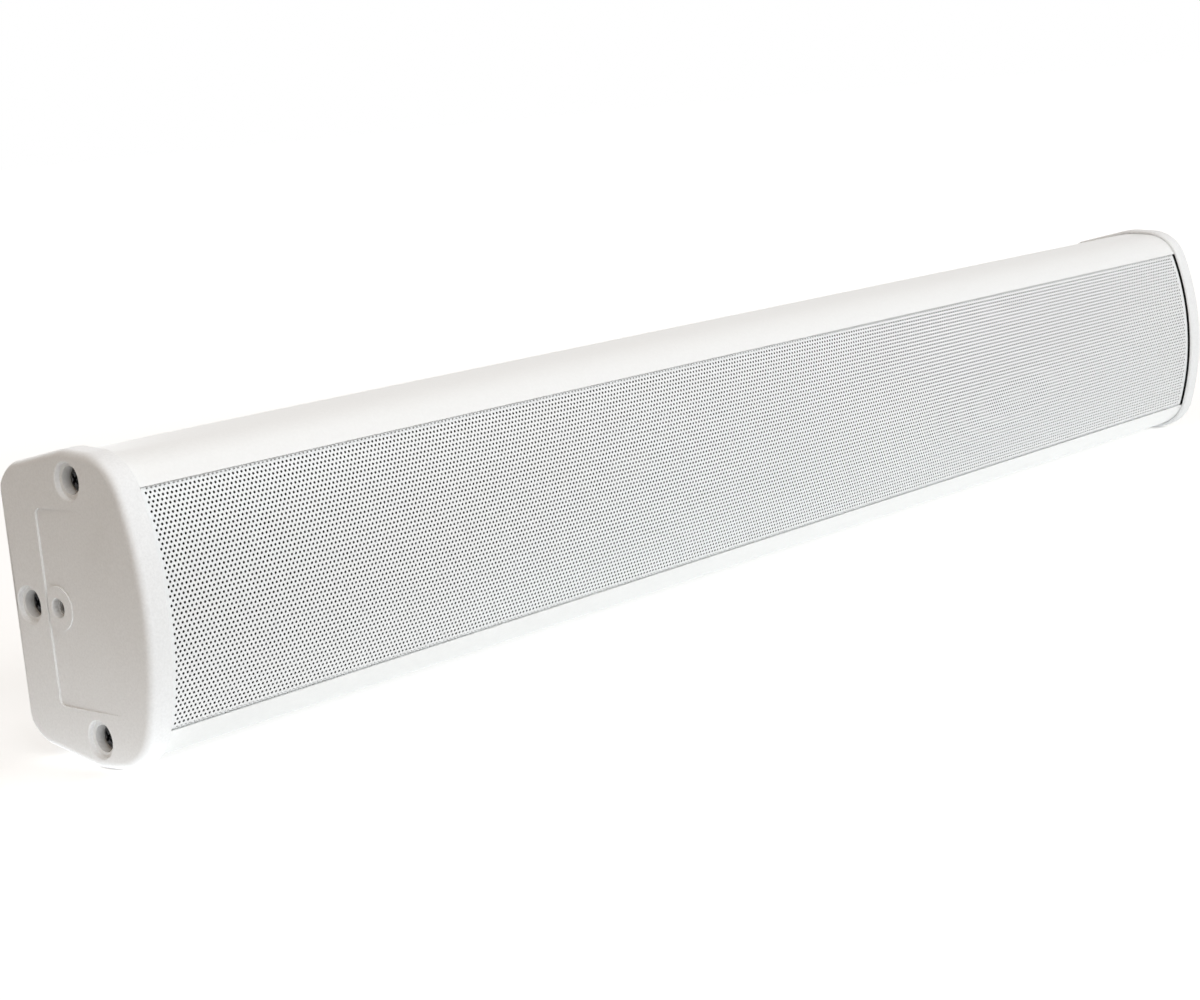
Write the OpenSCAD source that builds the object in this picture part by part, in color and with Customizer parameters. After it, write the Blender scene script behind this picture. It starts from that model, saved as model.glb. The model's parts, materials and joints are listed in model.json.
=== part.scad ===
// Column loudspeaker: an extruded D-shaped enclosure with a curved perforated grille,
// two moulded end caps and a row of small full-range drivers on a baffle.
// Millimetres. X runs along the length, Y from the grille (-) to the flat back at Y = 0,
// Z across the width.

/* [Enclosure profile] */
// Length of the extruded profile
profile_length = 762; // [660:1:1000]
// Greatest width of the profile, at the crests of its sides
profile_width = 116; // [108:0.5:128]
// Depth from the flat back to the crown of the front arc
profile_depth = 79.8; // [76:0.2:92]
// Radius of the front arc that rails, grille and caps follow
front_radius = 138.8; // [125:0.2:160]
// Radius of the corners between the front arc and the sides
corner_radius = 20; // [16:0.5:24]
// Distance of the crests from the flat back
crest_depth = 44; // [40:0.5:48]
// Radius of the crests
crest_radius = 30; // [20:1:40]
// Angle by which the sides draw in behind the crests
side_flare = 10; // [6:0.5:12]
// Angle by which the sides lean in before the crests
front_lean = 5; // [2:0.5:8]
// Radius of the corners at the back
back_radius = 16; // [10:0.5:18]
// Wall of the profile
wall = 2.2; // [1.6:0.1:3]
// Wall of the rail channels and of the baffle ribs
rail_wall = 1.6; // [1.2:0.1:2.2]
// Reach of the ribs that hold the baffle, past its edge
rib_reach = 4; // [3:0.5:6]

/* [Grille] */
// Width of the front opening between the rails
opening_width = 90; // [84:0.2:94]
// Depth of the grille below the front arc
grille_inset = 0.9; // [0.5:0.1:2]
// Thickness of the grille sheet
grille_t = 0.7; // [0.6:0.1:1.5]
// Depth of the grille's folded edges
grille_fold = 6; // [4:0.5:8]
// Gap left between the grille's right end and the cap's rim
grille_gap = 0.8; // [0.6:0.1:4]
// Thickness of the acoustic cloth behind the grille
cloth_t = 0.6; // [0.4:0.1:1.2]
// Clearance between the grille, the cloth and their channels
grille_play = 0.3; // [0.2:0.05:0.5]
// Clearance between the grille's folded edges and the rails
rail_play = 0.1; // [0.05:0.05:0.3]

/* [End caps] */
// Depth of a cap from its face to the edge of its rim
cap_depth = 11; // [10:0.5:14]
// Depth from a cap's face to its seat for the gasket
cap_seat = 8; // [7.5:0.25:9]
// Height by which a cap stands proud of the profile
cap_proud = 1.8; // [1:0.1:2.5]
// Thickness of a cap's face
cap_face_t = 3; // [2.5:0.25:4]
// Wall of a cap behind its face
cap_wall = 2.4; // [2:0.1:3.5]
// Radius of the edge around a cap's face
cap_edge = 3.5; // [2:0.25:5]
// Radius of the face's edge along the front
cap_front_edge = 3; // [2:0.25:5]
// Radius of the rim's inner edge
rim_edge = 1.2; // [0.6:0.1:1.6]
// Clearance between a cap's rim and the profile
cap_play = 0.2; // [0.1:0.05:0.4]
// Height of the profile's back that the rim leaves free
rim_relief = 3; // [2:0.5:6]
// Thickness of the gasket under a cap
gasket_t = 1; // [0.5:0.1:2]
// Length of the recess in a cap's face, across the width
recess_length = 75.2; // [60:0.2:80]
// Depth of the recess's rear edge from the back
recess_rear = 22.4; // [20:0.2:26]
// Depth of the recess's front edge from the back
recess_front = 62; // [56:0.5:66]
// Depth of the recess at its rear edge; it runs out to nothing at its front edge
recess_t = 0.8; // [0.4:0.1:1.2]
// Corner radius of the recess
recess_radius = 3; // [1:0.5:6]

/* [Cap screws] */
// Distance between the two side screws
side_screw_spread = 96.4; // [92:0.2:99]
// Depth of the side screws from the back
side_screw_depth = 44.8; // [43:0.2:48]
// Depth of the back screw from the back
back_screw_depth = 10.9; // [10.5:0.1:14]
// Diameter of a cap screw's shank
cap_screw_d = 5; // [4:0.5:6]
// Diameter of a cap screw's head
cap_screw_head_d = 9.4; // [8:0.1:10]
// Height of a cap screw's head
cap_screw_head_h = 2.8; // [2:0.1:3.2]
// Length of a cap screw below its head
cap_screw_length = 18; // [12:1:30]
// Diameter of the counterbore's mouth
counterbore_d = 14; // [12.5:0.25:15]
// Depth of the counterbore's mouth
counterbore_t = 2; // [1:0.25:3]
// Thickness left under a screw's head
head_floor = 1.4; // [1:0.1:2]
// Radial clearance around a screw's head
head_play = 0.6; // [0.3:0.1:1]
// Wall of a cap around a counterbore
counterbore_wall = 2; // [1.5:0.25:3]
// Wall of the profile's screw ports
port_wall = 2; // [1.5:0.1:3]
// Radial clearance between a screw and its threaded hole
screw_play = 0.05; // [0.03:0.01:0.1]
// Radial clearance of a cap's screw holes
hole_play = 0.25; // [0.15:0.05:0.4]

/* [Bracket bosses] */
// Depth of a bracket boss's axis from the back
boss_depth = 29.1; // [28:0.1:34]
// Diameter of a bracket boss
boss_d = 17; // [14:0.5:20]
// Width of the groove left between a bracket boss and the recess's rear edge
boss_groove = 1; // [0.5:0.1:2]
// Length of a bracket boss from the cap's face
boss_length = 15; // [13:0.5:20]
// Diameter of the bracket bore
bracket_bore_d = 7.4; // [7:0.1:8]
// Depth of the bracket bore
bracket_bore_t = 3.2; // [2:0.1:4]
// Diameter of a bracket screw's head
bracket_head_d = 6.6; // [6:0.1:6.8]
// Height of a bracket screw's head
bracket_head_h = 2.4; // [2:0.1:3]
// Diameter of a bracket screw's shank
bracket_screw_d = 4; // [3:0.5:4.5]
// Outer diameter of the threaded insert
insert_d = 6; // [5.5:0.1:6.3]
// Length of the threaded insert
insert_length = 7; // [5:0.5:7.5]
// Thickness left between the bracket screw's head and the insert
insert_floor = 1.2; // [0.8:0.1:2]

/* [Cable entry] */
// Diameter of the cable hole in the grommet
entry_bore_d = 6; // [4:0.5:8]
// Diameter of the grommet's neck
entry_neck_d = 13; // [12:0.5:14]
// Diameter of the grommet's collars
entry_collar_d = 18; // [16:0.5:20]
// Thickness of the grommet's collars
entry_collar_t = 2.2; // [1.5:0.1:3]

/* [Baffle and drivers] */
// Number of drivers
driver_count = 6; // [3:1:6]
// Distance of the outer drivers' axes from the profile's ends
driver_margin = 76; // [60:1:90]
// Distance of the baffle's face behind the crown of the front arc
baffle_setback = 20.8; // [18:0.2:23]
// Thickness of the baffle
baffle_t = 2; // [1.5:0.1:3]
// Outer diameter of a driver's flange
driver_d = 88; // [84:0.5:92]
// Thickness of a driver's flange
flange_t = 1.2; // [0.8:0.1:2]
// Inner diameter of a driver's flange
cone_well_d = 72; // [68:0.5:74]
// Depth of the straight well inside the flange
cone_well_t = 3.5; // [3:0.1:5]
// Inner diameter of the spider's well
spider_well_d = 52; // [48:0.5:54]
// Depth at which the spider's well begins
spider_well_top = 9; // [8:0.25:10]
// Depth of a basket behind the baffle's face
basket_depth = 20; // [19.5:0.25:22]
// Thickness of a basket's sheet
basket_t = 1; // [0.8:0.1:1.4]
// Thickness of a top plate
top_plate_t = 3; // [2:0.25:4]
// Diameter of the top plate and of the yoke
plate_d = 52; // [46:1:54]
// Diameter of a ring magnet
magnet_d = 56; // [50:1:58]
// Bore of a ring magnet
magnet_bore_d = 26; // [22:0.5:30]
// Thickness of a ring magnet
magnet_t = 10; // [8:0.5:12]
// Thickness of a yoke's plate
yoke_t = 4; // [3:0.25:5]
// Diameter of a pole
pole_d = 16; // [13:0.5:18]
// Clearance on each side of a voice coil
coil_play = 0.4; // [0.3:0.05:0.6]
// Thickness of a former
former_t = 0.25; // [0.15:0.05:0.5]
// Thickness of a coil's winding
coil_t = 0.3; // [0.2:0.05:0.5]
// Length of a coil's winding
coil_length = 6; // [4:0.5:8]
// Depth of a cone
cone_depth = 11; // [10:0.25:12]
// Thickness of a cone, along the axis
cone_t = 0.9; // [0.6:0.1:1.2]
// Diameter of a dust cap
dust_cap_d = 20; // [18.5:0.25:24]
// Rise of a dust cap
dust_cap_rise = 4.7; // [3.5:0.1:6]
// Thickness of a dust cap
dust_cap_t = 0.5; // [0.3:0.05:0.7]
// Width of a surround
surround_width = 4.7; // [4.2:0.1:6]
// Width of a surround's flat lips
surround_lip = 1; // [0.6:0.1:1.2]
// Thickness of a surround
surround_t = 0.6; // [0.4:0.1:0.8]
// Thickness of a spider
spider_t = 0.5; // [0.3:0.05:0.8]
// Height of a spider's folds
spider_fold = 0.8; // [0.4:0.1:1.2]
// Number of a spider's folds
spider_folds = 4; // [2:1:6]
// Clearance around the moving parts
moving_play = 0.3; // [0.2:0.05:0.5]
// Width of a basket's windows
window_width = 14; // [8:1:20]
// Height of a basket's windows
window_height = 2.4; // [1.5:0.1:2.6]
// Width of a terminal tag
tag_width = 10; // [6:0.5:14]
// Thickness of a terminal tag
tag_t = 1.5; // [0.8:0.1:2]
// Diameter of a driver's fixing screws
driver_screw_d = 3; // [2.5:0.5:3.5]
// Diameter of their heads
driver_screw_head_d = 5; // [4.5:0.1:5.5]
// Height of their heads
driver_screw_head_h = 1.8; // [1.2:0.1:2.4]
// Length of the screws in the baffle
small_screw_length = 7; // [5:0.5:9]

/* [Transformer, terminals and wiring] */
// Height of the transformer's core, away from the baffle
core_height = 34; // [28:1:40]
// Width of the core, across the enclosure
core_width = 41; // [36:1:46]
// Stack of the core, along the enclosure
core_stack = 16; // [12:1:20]
// Width of the core's middle limb
limb_width = 14; // [10:1:16]
// Reach of the winding past the core's stack
winding_reach = 6; // [3:0.5:7]
// Thickness of the strap around the core
strap_t = 1; // [0.8:0.1:1.5]
// Height of the strap beside the core
strap_height = 20; // [10:1:26]
// Length of the strap's feet
strap_foot = 9; // [8:0.5:12]
// Length of the terminal block, across the enclosure
terminal_length = 30; // [24:1:36]
// Width of the terminal block
terminal_width = 16; // [12:1:20]
// Height of the terminal block
terminal_height = 14; // [10:1:18]
// Thickness of the terminal block's floor
terminal_floor = 4.6; // [3:0.2:6]
// Diameter of a terminal clamp
clamp_d = 5; // [4:0.5:6]
// Height of a terminal clamp
clamp_height = 7; // [4:0.5:9]
// Diameter of the wiring loom
loom_d = 4; // [3:0.25:6]
// Diameter of a lead
lead_d = 2.4; // [1.5:0.1:3]
// Distance of the loom from the middle of the enclosure
loom_offset = 31.5; // [30.5:0.25:33]

/* [Hidden] */
$fn = 96;
joint_gap = 0.05;
over = 1;
seam = 0.01;
// Cross recess of a screw's head, as shares of the head's diameter and height
cross_span = 0.56;
cross_slot = 0.13;
cross_sink = 0.6;
dome_share = 0.8;

// Circles that the profile's outline runs round, in (Y, Z)
side_n = [sin(side_flare), cos(side_flare)];
lean_n = [-sin(front_lean), cos(front_lean)];
front_c = [front_radius - profile_depth, 0];
crest_c = [-crest_depth, profile_width / 2 - crest_radius];
back_c = [-back_radius, crest_c[1] + (crest_radius - back_radius
          - side_n[0] * (crest_depth - back_radius)) / side_n[1]];
corner_z0 = crest_c[1] + (crest_radius - corner_radius) / cos(front_lean);
corner_k = tan(front_lean);
corner_qa = 1 + corner_k * corner_k;
corner_qb = 2 * (corner_k * corner_z0 - crest_depth - front_c[0]);
corner_qc = pow(crest_depth + front_c[0], 2) + pow(corner_z0, 2)
            - pow(front_radius - corner_radius, 2);
corner_step = (-corner_qb - sqrt(corner_qb * corner_qb - 4 * corner_qa * corner_qc))
              / (2 * corner_qa);
corner_c = [corner_step - crest_depth, corner_z0 + corner_k * corner_step];
front_n = (corner_c - front_c) / norm(corner_c - front_c);
front_angle = atan2(front_n[1], front_n[0]);

// Y of an arc about the front arc's centre, at width z
function arc_y(r, z) = front_c[0] - sqrt(r * r - z * z);
// Half width of the corner, grown by g, at depth y
function corner_z(g, y) = corner_c[1] + sqrt(pow(corner_radius + g, 2) - pow(y - corner_c[0], 2));

overall_length = profile_length + 2 * (cap_seat + gasket_t);
profile_end = profile_length / 2;

// Grille and rails
grille_r = front_radius - grille_inset;
grille_half = opening_width / 2 - rail_play;
fold_inner = grille_half - grille_t - grille_play;
fold_end = arc_y(grille_r, grille_half) + grille_fold;
grille_left = -profile_end + joint_gap;
grille_right = overall_length / 2 - cap_depth - grille_gap;
cloth_r = grille_r - grille_t - joint_gap;
channel_floor = fold_end + grille_play;
channel_top = arc_y(cloth_r - cloth_t, fold_inner) + grille_play;

// Baffle
baffle_front = -profile_depth + baffle_setback;
baffle_rear = baffle_front + baffle_t;
baffle_half = corner_z(-wall, baffle_front) - grille_play;
basket_hole_d = cone_well_d + 2 * basket_t + 4 * moving_play;

// Cap screws: port centres in (Y, Z)
ports = [[-side_screw_depth, side_screw_spread / 2],
         [-side_screw_depth, -side_screw_spread / 2],
         [-back_screw_depth, 0]];
port_r = cap_screw_d / 2 + screw_play + port_wall;
head_seat = cap_seat - head_floor;
head_well_d = cap_screw_head_d + 2 * head_play;
screw_boss_d = counterbore_d + 2 * counterbore_wall;
screw_hole_d = cap_screw_d + 2 * hole_play;

// Bracket screw
bracket_seat = bracket_bore_t + bracket_head_h + 2 * joint_gap;
bracket_well_d = bracket_bore_d - 2 * hole_play;
insert_top = bracket_seat + insert_floor;

// Cable entry, midway between the bracket boss and the recess's front edge
entry_depth = (recess_front + boss_depth + boss_d / 2) / 2;

// Driver stations, from the baffle's face backwards
driver_pitch = (profile_length - 2 * driver_margin) / (driver_count - 1);
function driver_x(i) = (i - (driver_count + 1) / 2) * driver_pitch;
plate_top = basket_depth + basket_t;
magnet_top = plate_top + top_plate_t;
yoke_top = magnet_top + magnet_t;
yoke_bottom = yoke_top + yoke_t;
pole_r = pole_d / 2;
former_r = pole_r + coil_play;
former_out = former_r + former_t;
coil_out = former_out + coil_t;
plate_bore_r = coil_out + coil_play;
coil_mid = plate_top + top_plate_t / 2;
cone_r = cone_well_d / 2 - moving_play - surround_width;
dome_base_r = dust_cap_d / 2;
dome_r = (dome_base_r * dome_base_r + dust_cap_rise * dust_cap_rise) / (2 * dust_cap_rise);
spider_z = (spider_well_top + basket_depth) / 2 - spider_t;
driver_screw_r = (driver_d / 2 + cone_well_d / 2 + basket_t) / 2 + moving_play;
former_rise = former_t + moving_play;
former_tail = 5 * moving_play;
lead_reach = lead_d / 2 + moving_play;

// Middle of the two bays that hold the transformer and the terminals
transformer_x = (driver_x(floor(driver_count / 2)) + driver_x(floor(driver_count / 2) + 1)) / 2;
terminal_x = (driver_x(driver_count - 1) + driver_x(driver_count)) / 2;
loom_y = -wall - loom_d / 2 - joint_gap;

COATED_WHITE = [0.93, 0.93, 0.92];
CAP_WHITE = [0.86, 0.85, 0.82];
STEEL = [0.62, 0.62, 0.62];
DARK_STEEL = [0.3, 0.3, 0.3];
BLACK = [0.08, 0.08, 0.08];
BRASS = [0.75, 0.6, 0.3];
COPPER = [0.7, 0.4, 0.2];

MOVING = ["cone", "surround", "dust_cap", "voice_coil", "spider"];

// Extrudes a (Y, Z) shape along X
module along_x(x, length) {
    translate([x, 0, 0]) rotate([90, 0, 90]) linear_extrude(length) children();
}

// Cylinder along X from a point
module rod_x(x, y, z, d, length) {
    translate([x, y, z]) rotate([0, 90, 0]) cylinder(d = d, h = length);
}

// Places a cap's pieces: X = 0 on the cap's face, +X into the enclosure
module at_end(side) {
    if (side < 0) translate([-overall_length / 2, 0, 0]) children();
    else mirror([1, 0, 0]) translate([-overall_length / 2, 0, 0]) children();
}

// Places a driver's pieces: Z = 0 on the baffle's face, +Z to the front
module at_driver(i) {
    translate([driver_x(i), baffle_front, 0]) rotate([90, 0, 0]) children();
}

// Outline of the profile in (Y, Z), grown outwards by g; the seam lets neighbouring arcs cross
module outline(g = 0) {
    upper = [[g, back_c[1]],
             back_c + (back_radius + g - 2 * seam) * side_n,
             crest_c + (crest_radius + g - seam) * side_n,
             crest_c + (crest_radius + g - seam) * lean_n,
             corner_c + (corner_radius + g - seam) * lean_n,
             corner_c + (corner_radius + g - 2 * seam) * front_n];
    lower = [for (i = [len(upper) - 1:-1:0]) [upper[i][0], -upper[i][1]]];
    chord = upper[len(upper) - 1];
    reach = profile_depth + g + over;
    polygon(concat(upper, lower));
    for (s = [-1, 1]) {
        translate([back_c[0], s * back_c[1]]) circle(back_radius + g - seam);
        translate([crest_c[0], s * crest_c[1]]) circle(crest_radius + g);
        translate([corner_c[0], s * corner_c[1]]) circle(corner_radius + g);
    }
    intersection() {
        translate(front_c) circle(front_radius + g - seam);
        translate([-reach, -chord[1]]) square([reach + chord[0] + over, 2 * chord[1]]);
    }
}

// Rectangle in (Y, Z) between two depths and two widths, on both sides
module both_sides(y0, y1, z0, z1) {
    for (z = [z0, -z1]) translate([y0, z]) square([y1 - y0, z1 - z0]);
}

module profile_section() {
    outer = profile_width / 2;
    difference() {
        union() {
            difference() {
                outline();
                outline(-wall);
                translate([-profile_depth - over, -opening_width / 2])
                    square([profile_depth + over + channel_floor, opening_width]);
            }
            // channels behind the rails take the grille's folded edges
            intersection() {
                outline();
                union() {
                    both_sides(-profile_depth, channel_floor + rail_wall,
                               opening_width / 2, opening_width / 2 + rail_wall);
                    both_sides(channel_floor, channel_floor + rail_wall,
                               fold_inner - rail_wall, opening_width / 2 + rail_wall);
                    both_sides(channel_top, channel_floor + rail_wall,
                               fold_inner - rail_wall, fold_inner);
                }
            }
            // ribs hold the baffle's long edges
            intersection() {
                outline(-wall / 2);
                union() {
                    both_sides(baffle_front - joint_gap - rail_wall, baffle_front - joint_gap,
                               baffle_half - rib_reach, outer);
                    both_sides(baffle_rear + joint_gap, baffle_rear + joint_gap + rail_wall,
                               baffle_half - rib_reach, outer);
                }
            }
            // screw ports and the webs that tie them to the walls
            for (p = ports) translate(p) circle(port_r);
            intersection() {
                outline(-wall / 2);
                union() {
                    both_sides(-side_screw_depth - port_wall, -side_screw_depth + port_wall,
                               side_screw_spread / 2, outer);
                    translate([-back_screw_depth, -port_wall])
                        square([back_screw_depth, 2 * port_wall]);
                }
            }
        }
        for (p = ports) translate(p) circle(cap_screw_d / 2 + screw_play);
    }
}

module enclosure_profile() {
    color(COATED_WHITE) along_x(-profile_end, profile_length) profile_section();
}

// Curved sheet between two radii about the front arc's centre
module arc_sheet(r, t, half) {
    intersection() {
        translate(front_c) difference() {
            circle(r);
            circle(r - t);
        }
        translate([-profile_depth - over, -half]) square([profile_depth, 2 * half]);
    }
}

module grille() {
    color(COATED_WHITE) along_x(grille_left, grille_right - grille_left) {
        arc_sheet(grille_r, grille_t, grille_half);
        both_sides(arc_y(grille_r - grille_t / 2, grille_half), fold_end, grille_half - grille_t, grille_half);
    }
}

module grille_cloth() {
    color(BLACK) along_x(grille_left, grille_right - grille_left)
        arc_sheet(cloth_r, cloth_t, fold_inner);
}

module baffle() {
    length = profile_length - 2 * joint_gap;
    color(DARK_STEEL) difference() {
        translate([-length / 2, baffle_front, -baffle_half])
            cube([length, baffle_t, 2 * baffle_half]);
        for (i = [1:driver_count]) at_driver(i) {
            translate([0, 0, -baffle_t - over]) cylinder(d = basket_hole_d, h = baffle_t + 2 * over);
            driver_screw_holes(-baffle_t - over, baffle_t + 2 * over);
        }
        fixing_holes(transformer_x, strap_screws());
        fixing_holes(terminal_x, [[0, 0]]);
    }
}

module driver_screw_holes(z, length) {
    for (a = [45:90:315]) rotate(a) translate([driver_screw_r, 0, z])
        cylinder(d = driver_screw_d + 2 * screw_play, h = length);
}

// Holes for small screws through the baffle, at (X, Z) offsets from a bay's middle
module fixing_holes(x, places) {
    for (p = places) translate([x + p[0], baffle_front - over, p[1]]) rotate([-90, 0, 0])
        cylinder(d = driver_screw_d + 2 * screw_play, h = baffle_t + 2 * over);
}

// Stations round the upper half of a cap's outline: centre, radius and angle of each point
function arc_stations(c, r, a0, a1, steps) = [for (k = [0:steps - 1]) [c, r, a0 + (a1 - a0) * k / steps]];
stations = concat(
    arc_stations(back_c, back_radius, 0, 90 - side_flare, 8),
    arc_stations(crest_c, crest_radius, 90 - side_flare, 90 + front_lean, 3),
    arc_stations(corner_c, corner_radius, 90 + front_lean, front_angle, 10),
    arc_stations(front_c, front_radius, front_angle, 180, 9));

// A cap is flush at the back and stands proud of the sides and the front
function proud_at(a) = a < 60 ? min(cap_proud, back_radius * (1 / cos(a) - 1)) : cap_proud;
// The edge of its face has a radius of its own along the front
function edge_at(a) = cap_edge + (cap_front_edge - cap_edge) * max(0, min(1, (a - 110) / 50));
function cap_point(s, x, inset) = concat(x, s[0] + (s[1] + proud_at(s[2]) - inset) * [cos(s[2]), sin(s[2])]);
function round_trip(upper) = concat(upper, [for (k = [len(upper) - 1:-1:0]) if (abs(upper[k][2]) > joint_gap)
    [upper[k][0], upper[k][1], -upper[k][2]]]);
function face_ring(t) = round_trip([for (s = concat(stations, [[front_c, front_radius, 180]]))
    cap_point(s, edge_at(s[2]) * (1 - cos(t)), edge_at(s[2]) * (1 - sin(t)))]);
function rim_ring(t) = round_trip([for (s = concat(stations, [[front_c, front_radius, 180]]))
    cap_point(s, cap_depth - rim_edge * (1 - sin(t)), rim_edge * (1 - cos(t)))]);

// Outer form of a cap: rings of points from its face to the edge of its rim
module cap_form() {
    rings = concat([for (t = [0:18:90]) face_ring(t)], [for (t = [0:30:90]) rim_ring(t)]);
    n = len(rings[0]);
    last = len(rings) - 1;
    sides = [for (j = [0:last - 1]) for (k = [0:n - 1]) let (m = (k + 1) % n)
        each [[j * n + k, (j + 1) * n + k, (j + 1) * n + m], [j * n + k, (j + 1) * n + m, j * n + m]]];
    polyhedron(points = [for (ring = rings) each ring],
               faces = concat([[for (k = [0:n - 1]) k]], sides, [[for (k = [n - 1:-1:0]) last * n + k]]));
}

module recess_shape() {
    y0 = -recess_front;
    y1 = -recess_rear;
    half = recess_length / 2;
    r = recess_radius;
    translate([y0 + r, -half]) square([y1 - y0 - 2 * r, 2 * half]);
    translate([y0, -half + r]) square([y1 - y0, 2 * half - 2 * r]);
    for (y = [y0 + r, y1 - r]) for (z = [-half + r, half - r]) translate([y, z]) circle(r);
}

module end_cap(with_entry) {
    color(CAP_WHITE) difference() {
        union() {
            difference() {
                cap_form();
                along_x(cap_face_t, cap_depth) outline(-cap_wall);
                along_x(cap_seat, cap_depth) {
                    outline(cap_play);
                    translate([-rim_relief, -profile_width]) square([2 * rim_relief, 2 * profile_width]);
                }
            }
            intersection() {
                along_x(cap_face_t - over, cap_seat - cap_face_t + over) outline(-joint_gap);
                for (p = ports) rod_x(0, p[0], p[1], screw_boss_d, cap_seat);
            }
            rod_x(cap_face_t - over, -boss_depth, 0, boss_d, boss_length - cap_face_t + over);
        }
        for (p = ports) {
            rod_x(-over, p[0], p[1], counterbore_d, over + counterbore_t);
            rod_x(0, p[0], p[1], head_well_d, head_seat);
            rod_x(0, p[0], p[1], screw_hole_d, cap_seat + over);
        }
        difference() {
            intersection() {
                along_x(-over, over + recess_t) recess_shape();
                translate([0, 0, -recess_length / 2]) linear_extrude(recess_length)
                    polygon([[-over, -recess_front], [0, -recess_front],
                             [recess_t, -recess_rear], [-over, -recess_rear]]);
            }
            intersection() {
                rod_x(-2 * over, -boss_depth, 0, boss_d, 4 * over);
                translate([-2 * over, -recess_rear - boss_groove - boss_d, -boss_d])
                    cube([4 * over, boss_d, 2 * boss_d]);
            }
            for (p = ports) rod_x(-2 * over, p[0], p[1], screw_boss_d, 4 * over);
        }
        rod_x(-over, -boss_depth, 0, bracket_bore_d, over + bracket_bore_t);
        rod_x(0, -boss_depth, 0, bracket_well_d, bracket_seat);
        rod_x(0, -boss_depth, 0, bracket_screw_d + 2 * hole_play, boss_length + over);
        rod_x(insert_top, -boss_depth, 0, insert_d + 2 * joint_gap, boss_length);
        if (with_entry) {
            rod_x(-over, -entry_depth, 0, entry_collar_d + 2 * moving_play, over + recess_t);
            rod_x(-over, -entry_depth, 0, entry_neck_d + 2 * joint_gap, cap_face_t + 2 * over);
        }
    }
}

module left_end_cap() { at_end(-1) end_cap(false); }
module right_end_cap() { at_end(1) end_cap(true); }

module gasket() {
    color(BLACK) difference() {
        along_x(cap_seat, gasket_t) difference() {
            outline(-joint_gap);
            outline(-cap_wall);
        }
        for (p = ports) rod_x(0, p[0], p[1], 2 * port_r, 2 * cap_seat);
    }
}

module left_gasket() { at_end(-1) gasket(); }
module right_gasket() { at_end(1) gasket(); }

// Cross recess along an axis Z, sunk from a head's top at Z = 0
module cross_recess(head_d, head_h) {
    span = cross_span * head_d;
    slot = cross_slot * head_d;
    sink = cross_sink * head_h;
    for (a = [45, 135]) rotate(a) translate([-span / 2, -slot / 2, -sink]) cube([span, slot, sink + over]);
}

// Pan head screw along -Z with its seat at Z = 0
module pan_screw(d, head_d, head_h, length) {
    sphere_r = dome_share * head_d;
    translate([0, 0, -length]) cylinder(d = d, h = length);
    difference() {
        intersection() {
            cylinder(d = head_d, h = head_h);
            translate([0, 0, head_h - sphere_r]) sphere(sphere_r);
        }
        translate([0, 0, head_h]) cross_recess(head_d, head_h);
    }
}

module cap_screws() {
    color(STEEL) for (p = ports) translate([head_seat, p[0], p[1]]) rotate([0, -90, 0])
        pan_screw(cap_screw_d, cap_screw_head_d, cap_screw_head_h, cap_screw_length);
}

module left_cap_screws() { at_end(-1) cap_screws(); }
module right_cap_screws() { at_end(1) cap_screws(); }

module bracket_screw() {
    length = insert_top - bracket_seat + insert_length;
    color(STEEL) translate([bracket_seat, -boss_depth, 0]) rotate([0, -90, 0])
        pan_screw(bracket_screw_d, bracket_head_d, bracket_head_h, length);
}

module left_bracket_screw() { at_end(-1) bracket_screw(); }
module right_bracket_screw() { at_end(1) bracket_screw(); }

module insert() {
    color(BRASS) difference() {
        rod_x(insert_top, -boss_depth, 0, insert_d, insert_length);
        rod_x(0, -boss_depth, 0, bracket_screw_d + 2 * screw_play, 2 * boss_length);
    }
}

module left_insert() { at_end(-1) insert(); }
module right_insert() { at_end(1) insert(); }

module cable_grommet() {
    outer = recess_t - entry_collar_t - joint_gap;
    color(BLACK) at_end(1) difference() {
        union() {
            rod_x(outer, -entry_depth, 0, entry_collar_d, entry_collar_t);
            rod_x(outer, -entry_depth, 0, entry_neck_d, cap_face_t - outer + entry_collar_t);
            rod_x(cap_face_t + joint_gap, -entry_depth, 0, entry_collar_d, entry_collar_t);
        }
        rod_x(outer - over, -entry_depth, 0, entry_bore_d, cap_face_t + 3 * entry_collar_t + 2 * over);
    }
}

module basket() {
    flange_r = driver_d / 2;
    well_r = cone_well_d / 2;
    spider_r = spider_well_d / 2;
    difference() {
        rotate_extrude() polygon([
            [flange_r, 0], [flange_r, flange_t], [well_r, flange_t], [well_r, -cone_well_t],
            [spider_r, -spider_well_top], [spider_r, -basket_depth],
            [plate_bore_r + 1, -basket_depth], [plate_bore_r + 1, -basket_depth - basket_t],
            [spider_r + basket_t, -basket_depth - basket_t],
            [spider_r + basket_t, -spider_well_top - basket_t / 2],
            [well_r + basket_t, -cone_well_t - basket_t / 2], [well_r + basket_t, 0]]);
        driver_screw_holes(-over, flange_t + 2 * over);
        for (a = [45, 135]) rotate(a)
            translate([-driver_d / 2, -window_width / 2, basket_t - basket_depth])
                cube([driver_d, window_width, window_height]);
    }
}

module driver_baskets() {
    color(BLACK) for (i = [1:driver_count]) at_driver(i) basket();
}

// Ring about a driver's axis, from a depth downwards
module ring(top, t, d, bore) {
    translate([0, 0, -top - t]) difference() {
        cylinder(d = d, h = t);
        translate([0, 0, -over]) cylinder(d = bore, h = t + 2 * over);
    }
}

module driver_top_plates() {
    color(STEEL) for (i = [1:driver_count]) at_driver(i)
        ring(plate_top, top_plate_t, plate_d, 2 * plate_bore_r);
}

module driver_magnets() {
    color(DARK_STEEL) for (i = [1:driver_count]) at_driver(i)
        ring(magnet_top, magnet_t, magnet_d, magnet_bore_d);
}

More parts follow.
